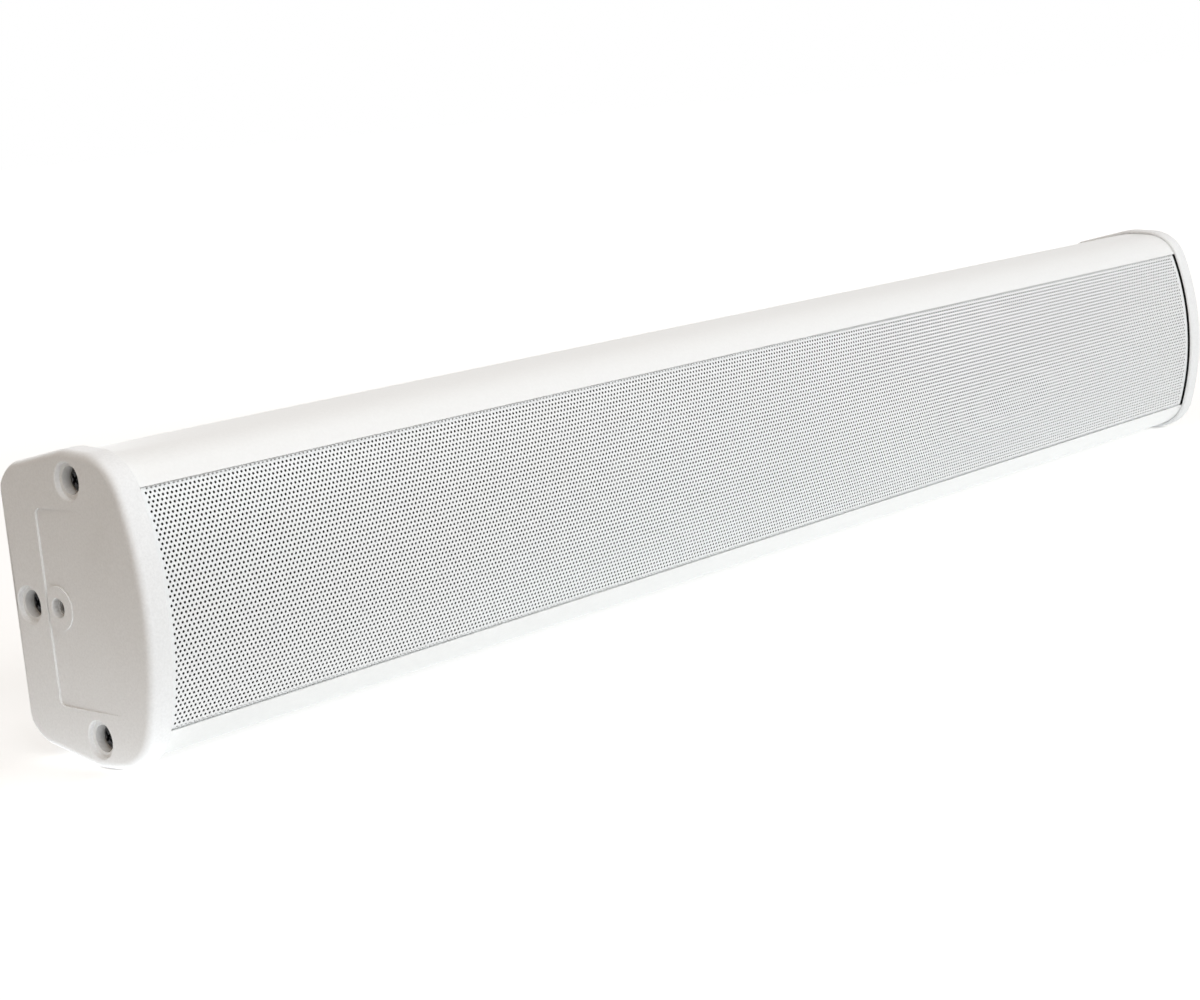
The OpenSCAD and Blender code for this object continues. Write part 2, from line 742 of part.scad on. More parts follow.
module driver_yokes() {
    color(STEEL) for (i = [1:driver_count]) at_driver(i) {
        translate([0, 0, -yoke_bottom]) cylinder(d = plate_d, h = yoke_t);
        translate([0, 0, -yoke_bottom]) cylinder(r = pole_r, h = yoke_bottom - plate_top);
    }
}

module driver_tags() {
    tag_z = -spider_z;
    wall_r = spider_well_d / 2 + basket_t;
    color(BRASS) for (i = [1:driver_count]) at_driver(i) difference() {
        translate([-tag_width / 2, 0, tag_z]) cube([tag_width, loom_offset + lead_reach, tag_t]);
        translate([0, 0, tag_z - over]) cylinder(r = wall_r + joint_gap, h = tag_t + 2 * over);
    }
}

// Small screw along -Z with its seat at Z = 0
module small_screw() {
    pan_screw(driver_screw_d, driver_screw_head_d, driver_screw_head_h, small_screw_length);
}

module driver_screws() {
    color(STEEL) for (i = [1:driver_count]) at_driver(i)
        for (a = [45:90:315]) rotate(a) translate([driver_screw_r, 0, flange_t]) small_screw();
}

module cone(i) {
    color([0.2, 0.2, 0.19]) at_driver(i) rotate_extrude() polygon([
        [former_out, -cone_depth], [cone_r, 0], [cone_r, cone_t], [former_out, cone_t - cone_depth]]);
}

module surround(i) {
    roll_r = (surround_width - 2 * surround_lip + surround_t) / 2;
    middle = cone_r + surround_width / 2;
    color(BLACK) at_driver(i) rotate_extrude() {
        translate([cone_r + joint_gap, 0]) square([surround_lip - joint_gap, cone_t]);
        translate([cone_r + surround_width - surround_lip, 0]) square([surround_lip, cone_t]);
        intersection() {
            translate([middle, cone_t / 2]) difference() {
                circle(roll_r);
                circle(roll_r - surround_t);
            }
            translate([cone_r, cone_t / 2]) square([surround_width, 2 * roll_r]);
        }
    }
}

module dust_cap(i) {
    slope = cone_depth / (cone_r - former_out);
    base = cone_t - cone_depth + (dome_base_r - former_out) * slope + joint_gap;
    color(BLACK) at_driver(i) rotate_extrude() intersection() {
        translate([0, base + dust_cap_rise - dome_r]) difference() {
            circle(dome_r);
            circle(dome_r - dust_cap_t);
        }
        translate([0, base]) square([dome_r, dome_r]);
    }
}

module voice_coil(i) {
    neck = cone_depth - cone_t - former_rise;
    former_end = coil_mid + coil_length / 2 + former_tail;
    color(COPPER) at_driver(i) difference() {
        union() {
            translate([0, 0, -former_end]) cylinder(r = former_out, h = former_end - neck);
            translate([0, 0, -coil_mid - coil_length / 2]) cylinder(r = coil_out, h = coil_length);
        }
        translate([0, 0, -former_end - over]) cylinder(r = former_r, h = former_end + over);
    }
}

module spider(i) {
    outer = spider_well_d / 2 - moving_play;
    steps = 2 * spider_folds;
    step = (outer - former_out) / steps;
    under = [for (k = [0:steps]) [former_out + step * k, spider_fold * (k % 2) - spider_z]];
    top = [for (k = [steps:-1:0]) [under[k][0], under[k][1] + spider_t]];
    color([0.8, 0.6, 0.3]) at_driver(i) rotate_extrude() polygon(concat(under, top));
}

// Screw places in (X, Z) of the transformer's strap
function strap_screws() = [for (s = [-1, 1]) [0, s * (core_width / 2 + strap_t + strap_foot / 2)]];
core_base = baffle_rear + strap_t;
yoke_width = limb_width / 2;
window_z = (core_width - 2 * limb_width) / 2;
window_y = core_height - 2 * yoke_width;

module transformer_core() {
    color(DARK_STEEL) translate([transformer_x, core_base, 0]) difference() {
        translate([-core_stack / 2, 0, -core_width / 2]) cube([core_stack, core_height, core_width]);
        for (s = [0, 1]) mirror([0, 0, s])
            translate([-core_stack, yoke_width, limb_width / 2]) cube([2 * core_stack, window_y, window_z]);
    }
}

module transformer_winding() {
    gap = 2 * joint_gap;
    half_z = limb_width / 2 + window_z - gap;
    half_x = core_stack / 2 + winding_reach;
    color(COPPER) translate([transformer_x, core_base + yoke_width + gap, 0]) difference() {
        translate([-half_x, 0, -half_z]) cube([2 * half_x, window_y - 2 * gap, 2 * half_z]);
        translate([-core_stack / 2 - gap, -over, -limb_width / 2 - gap])
            cube([core_stack + 2 * gap, core_height, limb_width + 2 * gap]);
    }
}

module transformer_strap() {
    side = core_width / 2 + joint_gap;
    color(STEEL) translate([transformer_x, baffle_rear, 0]) difference() {
        union() {
            translate([-core_stack / 2, 0, -side - strap_t - strap_foot])
                cube([core_stack, strap_t, 2 * (side + strap_t + strap_foot)]);
            for (s = [0, 1]) mirror([0, 0, s]) translate([-core_stack / 2, 0, side])
                cube([core_stack, strap_height, strap_t]);
        }
        for (p = strap_screws()) translate([p[0], -over, p[1]]) rotate([-90, 0, 0])
            cylinder(d = driver_screw_d + 2 * screw_play, h = strap_t + 2 * over);
    }
}

// Small screw driven forwards into the baffle from behind, with its seat at depth y
module rear_screw(x, y, z) {
    translate([x, y, z]) rotate([-90, 0, 0]) small_screw();
}

module transformer_screws() {
    color(STEEL) for (p = strap_screws())
        rear_screw(transformer_x + p[0], baffle_rear + strap_t, p[1]);
}

function clamp_places() = [for (sx = [-1, 1]) for (sz = [-1, 1])
    [sx * terminal_width / 4, sz * terminal_length / 3]];

module terminal_block() {
    color([0.9, 0.88, 0.82]) translate([terminal_x, baffle_rear, 0]) difference() {
        translate([-terminal_width / 2, 0, -terminal_length / 2])
            cube([terminal_width, terminal_height, terminal_length]);
        translate([0, -over, 0]) rotate([-90, 0, 0])
            cylinder(d = driver_screw_d + 2 * screw_play, h = terminal_height);
        translate([0, terminal_floor, 0]) rotate([-90, 0, 0])
            cylinder(d = driver_screw_head_d + 2 * head_play, h = terminal_height);
        for (p = clamp_places()) translate([p[0], terminal_floor, p[1]]) rotate([-90, 0, 0])
            cylinder(d = clamp_d + 2 * joint_gap, h = terminal_height);
    }
}

module terminal_clamps() {
    color(BRASS) for (p = clamp_places())
        translate([terminal_x + p[0], baffle_rear + terminal_floor, p[1]]) rotate([-90, 0, 0]) difference() {
            cylinder(d = clamp_d, h = clamp_height);
            translate([0, 0, clamp_height]) cross_recess(clamp_d, clamp_height / 2);
        }
}

module terminal_screw() {
    color(STEEL) rear_screw(terminal_x, baffle_rear + terminal_floor, 0);
}

// Lead along -Y from the loom's depth, at (X, Z), to depth y
module lead(x, y, z) {
    translate([x, loom_y, z]) rotate([90, 0, 0]) cylinder(d = lead_d, h = loom_y - y);
}

// Branch from the loom across the back to width z, then forwards to depth y
module branch(x, y, z) {
    translate([x, loom_y, z]) cylinder(d = lead_d, h = loom_offset - z);
    translate([x, loom_y, z]) sphere(d = lead_d);
    lead(x, y, z);
}

module wiring_loom() {
    tag_rear = baffle_front + spider_z;
    color([0.5, 0.1, 0.1]) {
        rod_x(driver_x(1) - loom_d, loom_y, loom_offset, loom_d, 2 * (driver_x(driver_count) + loom_d));
        for (i = [1:driver_count]) lead(driver_x(i), tag_rear + moving_play, loom_offset);
        branch(transformer_x, core_base + core_height + moving_play, core_width / 4);
        branch(terminal_x, baffle_rear + terminal_height + moving_play, terminal_length / 3);
    }
}

enclosure_profile();
grille();
grille_cloth();
baffle();
left_end_cap();
right_end_cap();
left_gasket();
right_gasket();
left_cap_screws();
right_cap_screws();
left_bracket_screw();
right_bracket_screw();
left_insert();
right_insert();
cable_grommet();
driver_baskets();
driver_top_plates();
driver_magnets();
driver_yokes();
driver_tags();
driver_screws();
transformer_core();
transformer_winding();
transformer_strap();
transformer_screws();
terminal_block();
terminal_clamps();
terminal_screw();
wiring_loom();
for (i = [1:driver_count]) {
    cone(i);
    surround(i);
    dust_cap(i);
    voice_coil(i);
    spider(i);
}
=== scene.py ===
import json
from math import asin, cos, hypot, radians, sin, sqrt

import bpy
import numpy as np
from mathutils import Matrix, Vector


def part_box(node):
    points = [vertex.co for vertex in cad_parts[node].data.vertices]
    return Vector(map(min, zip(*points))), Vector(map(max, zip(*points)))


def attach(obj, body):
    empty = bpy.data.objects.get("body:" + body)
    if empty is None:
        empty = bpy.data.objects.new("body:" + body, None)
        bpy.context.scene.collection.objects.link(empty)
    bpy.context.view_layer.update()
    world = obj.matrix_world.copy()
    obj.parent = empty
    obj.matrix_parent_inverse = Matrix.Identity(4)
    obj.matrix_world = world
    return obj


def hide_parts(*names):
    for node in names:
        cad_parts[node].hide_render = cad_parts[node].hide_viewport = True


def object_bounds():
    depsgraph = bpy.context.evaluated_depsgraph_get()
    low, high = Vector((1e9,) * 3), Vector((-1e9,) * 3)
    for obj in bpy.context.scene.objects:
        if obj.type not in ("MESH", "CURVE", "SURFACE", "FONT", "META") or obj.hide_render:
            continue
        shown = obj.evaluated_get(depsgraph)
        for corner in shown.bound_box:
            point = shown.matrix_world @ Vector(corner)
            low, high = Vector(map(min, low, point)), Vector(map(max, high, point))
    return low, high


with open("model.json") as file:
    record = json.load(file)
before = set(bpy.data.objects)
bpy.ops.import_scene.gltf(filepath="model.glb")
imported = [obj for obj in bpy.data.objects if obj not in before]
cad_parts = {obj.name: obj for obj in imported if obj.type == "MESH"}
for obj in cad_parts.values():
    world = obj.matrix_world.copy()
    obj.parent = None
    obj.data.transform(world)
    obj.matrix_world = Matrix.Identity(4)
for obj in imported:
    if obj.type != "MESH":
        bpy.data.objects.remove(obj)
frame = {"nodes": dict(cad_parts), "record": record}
cad_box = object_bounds()

# Studio: a wide pale floor that the speaker lies on, soft lamps ahead, above and behind, a small warm one
# over its left end, two low light panels that lift its underside and left end, and a dim warm room. Far out
# the floor is as white as the backdrop. The view is the photograph's own.
mm = 0.001
PURE_WHITE = "#ffffff"
FLOOR_WHITE = "#c9c8c5"
ROOM_WARM = "#5b4119"
LAMP_WHITE = "#f5faff"
LAMP_WARM = "#ffe2bc"
floor_size = 60.0
floor_level = cad_box[0].z
floor_lift = (0.62, 1.0)
lift_reach = (0.5, 2.0)
speaker_middle = Vector((-0.05, -0.04, 0))
speaker_end = Vector((-0.39, -0.04, 0))
table_panel_level = floor_level + 0.5 * mm
above_table = Vector((0.15, -0.12, 1))
end_panel_level = floor_level + 0.6 * mm
above_end = Vector((-0.44, 0.0, 1))
# Each lamp's place, what it points at, its size, its power in watts and its colour
lamps = {
    "left_lamp": (Vector((-1.1, -2.2, 1.3)), speaker_middle, (1.2, 1.2), 20.0, LAMP_WHITE),
    "right_lamp": (Vector((0.7, -2.4, 1.3)), speaker_middle, (1.2, 1.2), 30.5, LAMP_WHITE),
    "top_lamp": (Vector((-0.15, -0.6, 2.2)), speaker_middle, (3.2, 1.0), 21.0, LAMP_WHITE),
    "rear_lamp": (Vector((0.6, 2.6, 1.0)), speaker_middle, (1.6, 1.2), 16.5, LAMP_WHITE),
    "end_lamp": (Vector((-1.6, -0.2, 1.7)), speaker_end, (0.6, 0.6), 3.4, LAMP_WARM),
    "table_panel": (Vector((0.15, -0.12, table_panel_level)), above_table, (1.1, 0.5), 0.66, LAMP_WHITE),
    "end_panel": (Vector((-0.44, 0.0, end_panel_level)), above_end, (0.12, 0.24), 0.055, LAMP_WHITE),
}
camera_place = (-0.8743, -0.7507, 0.1656)
camera_turn = (radians(80.29), radians(5.255), radians(-48.22))
camera_lens = 70.24


def rgb(hex_code):
    """An sRGB hex value as linear RGBA."""
    parts = [int(hex_code[i:i + 2], 16) / 255 for i in (1, 3, 5)]
    return [p / 12.92 if p <= 0.04045 else ((p + 0.055) / 1.055) ** 2.4 for p in parts] + [1.0]


def add(owner, kind, sockets=None, **settings):
    """Adds a node to a material or world; a socket is given a value or another node's output."""
    tree = owner.node_tree
    node = tree.nodes.new("ShaderNode" + kind)
    for name, value in settings.items():
        setattr(node, name, value)
    for socket, value in (sockets or {}).items():
        if isinstance(value, bpy.types.NodeSocket):
            tree.links.new(value, node.inputs[socket])
        else:
            node.inputs[socket].default_value = value
    return node


def eye_rays(owner):
    """An output that is 1 for what is seen, straight, mirrored or through glass, and 0 for other light."""
    ray = add(owner, "LightPath")
    mirrored = add(owner, "Math", {0: ray.outputs["Is Glossy Ray"], 1: ray.outputs["Is Transmission Ray"]},
                   operation="MAXIMUM")
    seen = add(owner, "Math", {0: ray.outputs["Is Camera Ray"], 1: mirrored.outputs[0]}, operation="MAXIMUM")
    return seen.outputs[0]


def fresh(primitive, name, **settings):
    """Adds a primitive with nothing else selected, and names it."""
    bpy.ops.object.select_all(action="DESELECT")
    primitive(**settings)
    piece = bpy.context.object
    piece.name = name
    piece.data.name = name
    return piece


scene = bpy.context.scene
scene.view_settings.view_transform = "Standard"

camera = bpy.data.objects.new("camera", bpy.data.cameras.new("camera"))
camera.location = camera_place
camera.rotation_euler = camera_turn
camera.data.lens = camera_lens
camera.data.clip_end = 2 * floor_size
scene.collection.objects.link(camera)
scene.camera = camera

for name, (place, target, size, power, colour) in lamps.items():
    lamp = bpy.data.objects.new(name, bpy.data.lights.new(name, "AREA"))
    lamp.location = place
    lamp.rotation_euler = (target - place).to_track_quat("-Z", "Y").to_euler()
    lamp.visible_camera = False
    lamp.data.shape = "RECTANGLE"
    lamp.data.size, lamp.data.size_y = size
    lamp.data.energy = power
    lamp.data.color = rgb(colour)[:3]
    scene.collection.objects.link(lamp)

room = bpy.data.worlds.new("room")
room.use_nodes = True
scene.world = room
room.node_tree.nodes.clear()
fill = add(room, "Background", {"Color": rgb(ROOM_WARM)})
backdrop = add(room, "Background", {"Color": rgb(PURE_WHITE)})
both = add(room, "MixShader", {0: eye_rays(room), 1: fill.outputs[0], 2: backdrop.outputs[0]})
add(room, "OutputWorld", {"Surface": both.outputs[0]})

# Matt floor paint has no shine of its own, and its lift to white grows with the distance from the speaker
floor_paint = bpy.data.materials.new("pale_floor_paint")
floor_paint.use_nodes = True
paint = floor_paint.node_tree.nodes["Principled BSDF"]
paint.inputs["Base Color"].default_value = rgb(FLOOR_WHITE)
paint.inputs["Roughness"].default_value = 0.9
paint.inputs["Specular IOR Level"].default_value = 0.0
paint.inputs["Emission Color"].default_value = rgb(PURE_WHITE)
spot = add(floor_paint, "TexCoord")
reach = add(floor_paint, "VectorMath", {0: spot.outputs["Object"]}, operation="LENGTH")
rise = add(floor_paint, "MapRange", {
    "Value": reach.outputs["Value"], "From Min": lift_reach[0], "From Max": lift_reach[1],
    "To Min": floor_lift[0], "To Max": floor_lift[1]})
lift = add(floor_paint, "Math", {0: eye_rays(floor_paint), 1: rise.outputs["Result"]}, operation="MULTIPLY")
floor_paint.node_tree.links.new(lift.outputs[0], paint.inputs["Emission Strength"])
floor = fresh(bpy.ops.mesh.primitive_plane_add, "floor", size=floor_size, location=(0, 0, floor_level))
floor.data.materials.append(floor_paint)

# Baffle and drivers: a black coated steel plate with six full-range drivers screwed to its face. Each has
# a pressed basket, a ferrite ring magnet between steel plates, and a paper cone on a rubber surround.
noise_span = (0.3, 0.7)
noise_detail = 4.0


def finish(name, tones, grain, gloss, relief, stretch=(1, 1, 1), **shader):
    """A surface whose colour runs between two tones and its roughness between two values, with a relief, all
    by one noise that is drawn out along each axis by the stretch. Grain and relief are in metres."""
    material = bpy.data.materials.new(name)
    material.use_nodes = True
    surface = material.node_tree.nodes["Principled BSDF"]
    place = add(material, "TexCoord")
    drawn = add(material, "Mapping", {"Vector": place.outputs["Object"], "Scale": [1 / s for s in stretch]})
    speck = add(material, "TexNoise", {
        "Vector": drawn.outputs[0], "Scale": 1 / grain, "Detail": noise_detail})
    tint = add(material, "ValToRGB", {"Fac": speck.outputs["Fac"]})
    for element, position, tone in zip(tint.color_ramp.elements, noise_span, tones):
        element.position = position
        element.color = rgb(tone)
    rough = add(material, "MapRange", {
        "Value": speck.outputs["Fac"], "From Min": noise_span[0], "From Max": noise_span[1],
        "To Min": gloss[0], "To Max": gloss[1]})
    bump = add(material, "Bump", {"Height": speck.outputs["Fac"], "Distance": relief})
    links = material.node_tree.links
    links.new(tint.outputs["Color"], surface.inputs["Base Color"])
    links.new(rough.outputs["Result"], surface.inputs["Roughness"])
    links.new(bump.outputs["Normal"], surface.inputs["Normal"])
    for socket, value in shader.items():
        surface.inputs[socket.replace("_", " ")].default_value = value
    return material


def dress(slot, material):
    """Gives a material to every node of one of the record's material slots."""
    for part in frame["record"]["subparts"]:
        if part["material_slot"] == slot:
            coats = frame["nodes"][part["node"]].data.materials
            coats.clear()
            coats.append(material)


# Coated steel is near black with a soft sheen, and zinc plate a bright mottled grey. Ferrite is a dull dark
# grey, paper pulp flat black and fibrous, butyl a smoother black, and dipped cotton a matt amber. Turned
# brass is yellow, with fine lines along it.
dress("black_steel", finish("black_coated_steel", ("#151516", "#1d1d1f"), 0.9 * mm, (0.42, 0.55), 0.02 * mm))
dress("plain_steel", finish("zinc_plated_steel", ("#9c9da0", "#b9babc"), 0.6 * mm, (0.28, 0.42), 0.004 * mm,
                            Metallic=1.0))
dress("ferrite", finish("sintered_ferrite", ("#2e2f31", "#3b3c3e"), 0.5 * mm, (0.55, 0.7), 0.03 * mm))
dress("cone_paper", finish("pressed_paper_pulp", ("#18181a", "#242427"), 1.4 * mm, (0.7, 0.85), 0.08 * mm))
dress("surround_rubber", finish("butyl_rubber", ("#111112", "#19191a"), 2.0 * mm, (0.5, 0.62), 0.01 * mm))
dress("spider_cloth", finish("resin_dipped_cotton", ("#b98a3f", "#c99b52"), 0.7 * mm, (0.65, 0.8), 0.06 * mm))
dress("brass", finish("turned_brass", ("#b58f45", "#cbaa62"), 0.4 * mm, (0.25, 0.38), 0.004 * mm,
                      stretch=(6, 1, 1), Metallic=1.0))

# Transformer, terminals and wiring: a stack of steel laminations with an enamelled copper winding, held to
# the baffle by a strap, a glazed ceramic terminal block, and red insulated leads tied in one loom.

# Varnished sheets show a dark line each, and the turns of an enamelled winding an orange one
dress("lamination_steel", finish("varnished_laminations", ("#33343a", "#45464c"), 0.5 * mm, (0.4, 0.55),
                                 0.05 * mm, stretch=(1, 30, 30)))
dress("copper_wire", finish("enamelled_copper", ("#a4521f", "#bd6a30"), 0.35 * mm, (0.25, 0.35), 0.06 * mm,
                            stretch=(30, 1, 30), Metallic=1.0))
# Glazed porcelain is cream with a clear gloss, and PVC a plain red with a low one
dress("terminal_ceramic", finish("glazed_porcelain", ("#e6e2d6", "#eeeade"), 4.0 * mm, (0.18, 0.25),
                                 0.02 * mm))
dress("wire_jacket", finish("red_pvc_sheath", ("#8e1b1a", "#9c2421"), 3.0 * mm, (0.4, 0.5), 0.01 * mm))

# Enclosure: one length of aluminium extruded to a D section, sawn square at both ends and powder coated
# white. Its two front rails have channels behind them that hold the grille's folded edges.
profile_edge = 0.25 * mm
weld_distance = 0.002 * mm
flat_angle = radians(0.5)
sharp_angle = radians(40)


def select_only(piece):
    """Makes a piece the only one selected, and the active one."""
    bpy.ops.object.select_all(action="DESELECT")
    piece.select_set(True)
    bpy.context.view_layer.objects.active = piece


def modify(piece, kind, **settings):
    """Adds a modifier with its settings and applies it."""
    modifier = piece.modifiers.new(kind.lower(), kind)
    for name, value in settings.items():
        setattr(modifier, name, value)
    select_only(piece)
    bpy.ops.object.modifier_apply(modifier=modifier.name)


def fit(piece, material, slot, *nodes):
    """Puts a finished piece on the enclosure in place of its nodes, with its finish."""
    piece.data.materials.clear()
    piece.data.materials.append(material)
    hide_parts(*nodes)
    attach(piece, "enclosure")


def plain(node, name):
    """A copy of a node with its triangles welded and its flat faces made whole."""
    piece = bpy.data.objects.new(name, frame["nodes"][node].data.copy())
    scene.collection.objects.link(piece)
    select_only(piece)
    bpy.ops.object.mode_set(mode="EDIT")
    bpy.ops.mesh.select_all(action="SELECT")
    bpy.ops.mesh.remove_doubles(threshold=weld_distance)
    bpy.ops.mesh.dissolve_limited(angle_limit=flat_angle)
    bpy.ops.object.mode_set(mode="OBJECT")
    return piece


def rounded(piece, edge):
    """Rounds a piece's sharp edges and shades it smooth, with its flats kept flat."""
    modify(piece, "BEVEL", width=edge, segments=2, limit_method="ANGLE", angle_limit=sharp_angle)
    bpy.ops.object.shade_smooth_by_angle(angle=sharp_angle)
    modify(piece, "WEIGHTED_NORMAL", keep_sharp=True)
    return piece


# Powder coat is a clean white with a satin sheen and a faint orange peel
coated_aluminium = finish("powder_coated_aluminium", ("#f1f2f1", "#f4f5f4"), 1.3 * mm, (0.3, 0.36),
                          0.012 * mm)
profile = rounded(plain("enclosure_profile", "profile"), profile_edge)
fit(profile, coated_aluminium, "coated_aluminium", "enclosure_profile")

# Acoustic cloth: a black open-weave polyester sheet, cut to the grille's length and glued along its edges
# to the grille's back. It hides the drivers, so that the holes show black.
cloth_low, cloth_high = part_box("grille_cloth")
cloth_length = cloth_high.x - cloth_low.x
cloth_radius = 137.15 * mm
front_centre = cloth_low.y + cloth_radius
cloth_run = cloth_radius * asin(cloth_high.z / cloth_radius)
cloth_steps = (120, 28)


def shaped(piece, section):
    """Lays a flat piece over a section that gives Y and Z at each run across the sheet."""
    for vertex in piece.data.vertices:
        vertex.co = (vertex.co.x, *section(vertex.co.y))


def cloth_section(run):
    """Y and Z of the cloth at a run from its middle, on one arc."""
    angle = run / cloth_radius
    return front_centre - cloth_radius * cos(angle), cloth_radius * sin(angle)


cloth = fresh(bpy.ops.mesh.primitive_grid_add, "cloth", x_subdivisions=cloth_steps[0],
              y_subdivisions=cloth_steps[1], size=1)
for vertex in cloth.data.vertices:
    vertex.co.x = (cloth_low.x + cloth_high.x) / 2 + vertex.co.x * cloth_length
    vertex.co.y = vertex.co.y * 2 * cloth_run
shaped(cloth, cloth_section)
bpy.ops.object.shade_smooth()
# Woven polyester is a dead black, with its threads just showing
black_cloth = finish("black_woven_polyester", ("#0b0b0c", "#161617"), 0.4 * mm, (0.85, 0.95), 0.1 * mm)
fit(cloth, black_cloth, "acoustic_cloth", "grille_cloth")

# Grille: one steel sheet of 0.7 mm, punched with holes of 1.1 mm on a staggered pitch of 2 mm, rolled to the
# front's arc and folded back along both edges. Its white coat is darkened inside the holes, past their
# mouths, by painted shade. It is modelled in eight lengths.
hole_width = 1.1 * mm
hole_points = 12
hole_pitch = 2.0 * mm
hexagon_corner = hole_pitch / sqrt(3)
row_step = hole_pitch * sqrt(3) / 2
hole_rows = 53
hole_columns = 376
grille_lengths = 8
columns_each = hole_columns // grille_lengths
first_hole = -374.95 * mm
last_hole = first_hole + (hole_columns - 1) * hole_pitch
outer_row = (hole_rows - 1) / 2 * row_step
net_weld = 0.02 * mm
sheet_thickness = 0.7 * mm
grille_radius = 137.9 * mm
bend_radius = 1.2 * mm
fold_lap = 0.6 * mm
grille_smooth = radians(35)
# How deep into the holes the white runs before painted shade darkens it, and how dark that painted shade is
hole_shade_depths = (0.24 * mm, 0.16 * mm)
hole_shade_tone = 0.05
grille_low, grille_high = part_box("grille")
bend_start = asin((grille_high.z - bend_radius) / (grille_radius - bend_radius))
bend_centre = front_centre - (grille_radius - bend_radius) * cos(bend_start)
bend_run = grille_radius * bend_start
flange_run = bend_run + bend_radius * (radians(90) - bend_start)
edge_run = flange_run + grille_high.y - bend_centre


def select_none(mesh):
    """Clears the selection of a mesh in object mode."""
    for part in (mesh.vertices, mesh.edges, mesh.polygons):
        part.foreach_set("select", np.zeros(len(part), bool))


def open_edges(piece, test):
    """In edit mode, with only the open edges selected whose two ends pass a test."""
    mesh = piece.data
    loop_edges = np.zeros(len(mesh.loops), int)
    mesh.loops.foreach_get("edge_index", loop_edges)
    faces_on = np.bincount(loop_edges, minlength=len(mesh.edges))
    select_none(mesh)
    for edge in mesh.edges:
        ends = [mesh.vertices[i] for i in edge.vertices]
        if faces_on[edge.index] == 1 and test(ends[0].co, ends[1].co):
            edge.select = True
            for end in ends:
                end.select = True
    select_only(piece)
    bpy.ops.object.mode_set(mode="EDIT")
    bpy.ops.mesh.select_mode(type="EDGE")


def extend(piece, axis, places, test):
    """Extrudes the chosen open edges to each place along an axis in turn."""
    open_edges(piece, test)
    for place in places:
        bpy.ops.mesh.extrude_edges_move()
        bpy.ops.object.mode_set(mode="OBJECT")
        for vertex in piece.data.vertices:
            if vertex.select:
                vertex.co[axis] = place
        bpy.ops.object.mode_set(mode="EDIT")
    bpy.ops.object.mode_set(mode="OBJECT")


def grille_section(run):
    """Y and Z of the sheet's outer face at a run from its middle: arc, bend and folded edge."""
    side = 1 if run > 0 else -1
    run = abs(run)
    if run < bend_run:
        angle = run / grille_radius
        return front_centre - grille_radius * cos(angle), side * grille_radius * sin(angle)
    angle = min(radians(90), bend_start + (run - bend_run) / bend_radius)
    y = bend_centre - bend_radius * cos(angle) + max(0, run - flange_run)
    return y, side * (grille_high.z - bend_radius + bend_radius * sin(angle))


# One hole in its hexagon: a ring of twelve points is pulled out, and every second outer point, halfway
# along a side of the hexagon, is dissolved. The cosine of three times the angle is 1 or -1 at these.
net = fresh(bpy.ops.mesh.primitive_circle_add, "grille_1", vertices=hole_points, radius=hole_width / 2)
bpy.ops.object.mode_set(mode="EDIT")
bpy.ops.mesh.select_all(action="SELECT")
bpy.ops.mesh.extrude_edges_move()
bpy.ops.transform.resize(value=[hexagon_corner / (hole_width / 2)] * 3)
bpy.ops.mesh.select_mode(type="VERT")
bpy.ops.object.mode_set(mode="OBJECT")
select_none(net.data)
for vertex in net.data.vertices:
    x, y, out = vertex.co.x, vertex.co.y, vertex.co.length
    vertex.select = out > hole_width / 2 + net_weld and abs(x ** 3 - 3 * x * y ** 2) > 0.5 * out ** 3
bpy.ops.object.mode_set(mode="EDIT")
bpy.ops.mesh.dissolve_verts()

# Two staggered holes are repeated along and across the sheet, and the row too many is deleted
bpy.ops.mesh.select_all(action="SELECT")
bpy.ops.mesh.duplicate_move(TRANSFORM_OT_translate={"value": (-hole_pitch / 2, row_step, 0)})
bpy.ops.object.mode_set(mode="OBJECT")
modify(net, "ARRAY", count=columns_each, use_relative_offset=False, use_constant_offset=True,
       constant_offset_displace=(hole_pitch, 0, 0))
modify(net, "ARRAY", count=(hole_rows + 1) // 2, use_relative_offset=False, use_constant_offset=True,
       constant_offset_displace=(0, 2 * row_step, 0))
select_none(net.data)
for face in net.data.polygons:
    face.select = face.center.y > (hole_rows - 0.5) * row_step
bpy.ops.object.mode_set(mode="EDIT")
bpy.ops.mesh.select_mode(type="FACE")
bpy.ops.mesh.delete(type="FACE")
bpy.ops.mesh.select_all(action="SELECT")
bpy.ops.mesh.remove_doubles(threshold=net_weld)
if net.data.polygons[0].normal.z < 0:
    bpy.ops.mesh.flip_normals()
bpy.ops.transform.translate(value=(first_hole, -outer_row, 0))
bpy.ops.object.mode_set(mode="OBJECT")

# Powder coat on steel is the same satin white. Inside the holes, away from the front's arc and the folded
# edges, painted shade darkens it nearly to black, so that each hole reads as black.
coated_steel = finish("powder_coated_steel", ("#eef0f0", "#f2f3f3"), 1.3 * mm, (0.34, 0.4), 0.008 * mm)
spot = add(coated_steel, "TexCoord")
from_axis = add(coated_steel, "VectorMath", {0: spot.outputs["Object"], 1: (0, front_centre, 0)},
                operation="SUBTRACT")
across = add(coated_steel, "VectorMath", {0: from_axis.outputs[0], 1: (0, 1, 1)}, operation="MULTIPLY")
reach = add(coated_steel, "VectorMath", {0: across.outputs[0]}, operation="LENGTH")
level = add(coated_steel, "SeparateXYZ", {0: spot.outputs["Object"]})
aside = add(coated_steel, "Math", {0: level.outputs["Z"]}, operation="ABSOLUTE")
fold = add(coated_steel, "Math", {0: aside.outputs[0], 1: grille_high.z - bend_radius},
           operation="GREATER_THAN")
# Painted shade: white at the holes' mouths, darkened nearly to black deeper inside the holes
coat = add(coated_steel, "MapRange", {
    "Value": reach.outputs["Value"], "From Min": grille_radius - hole_shade_depths[0],
    "From Max": grille_radius - hole_shade_depths[1], "To Min": hole_shade_tone})
white = add(coated_steel, "Math", {0: coat.outputs["Result"], 1: fold.outputs[0]}, operation="MAXIMUM")
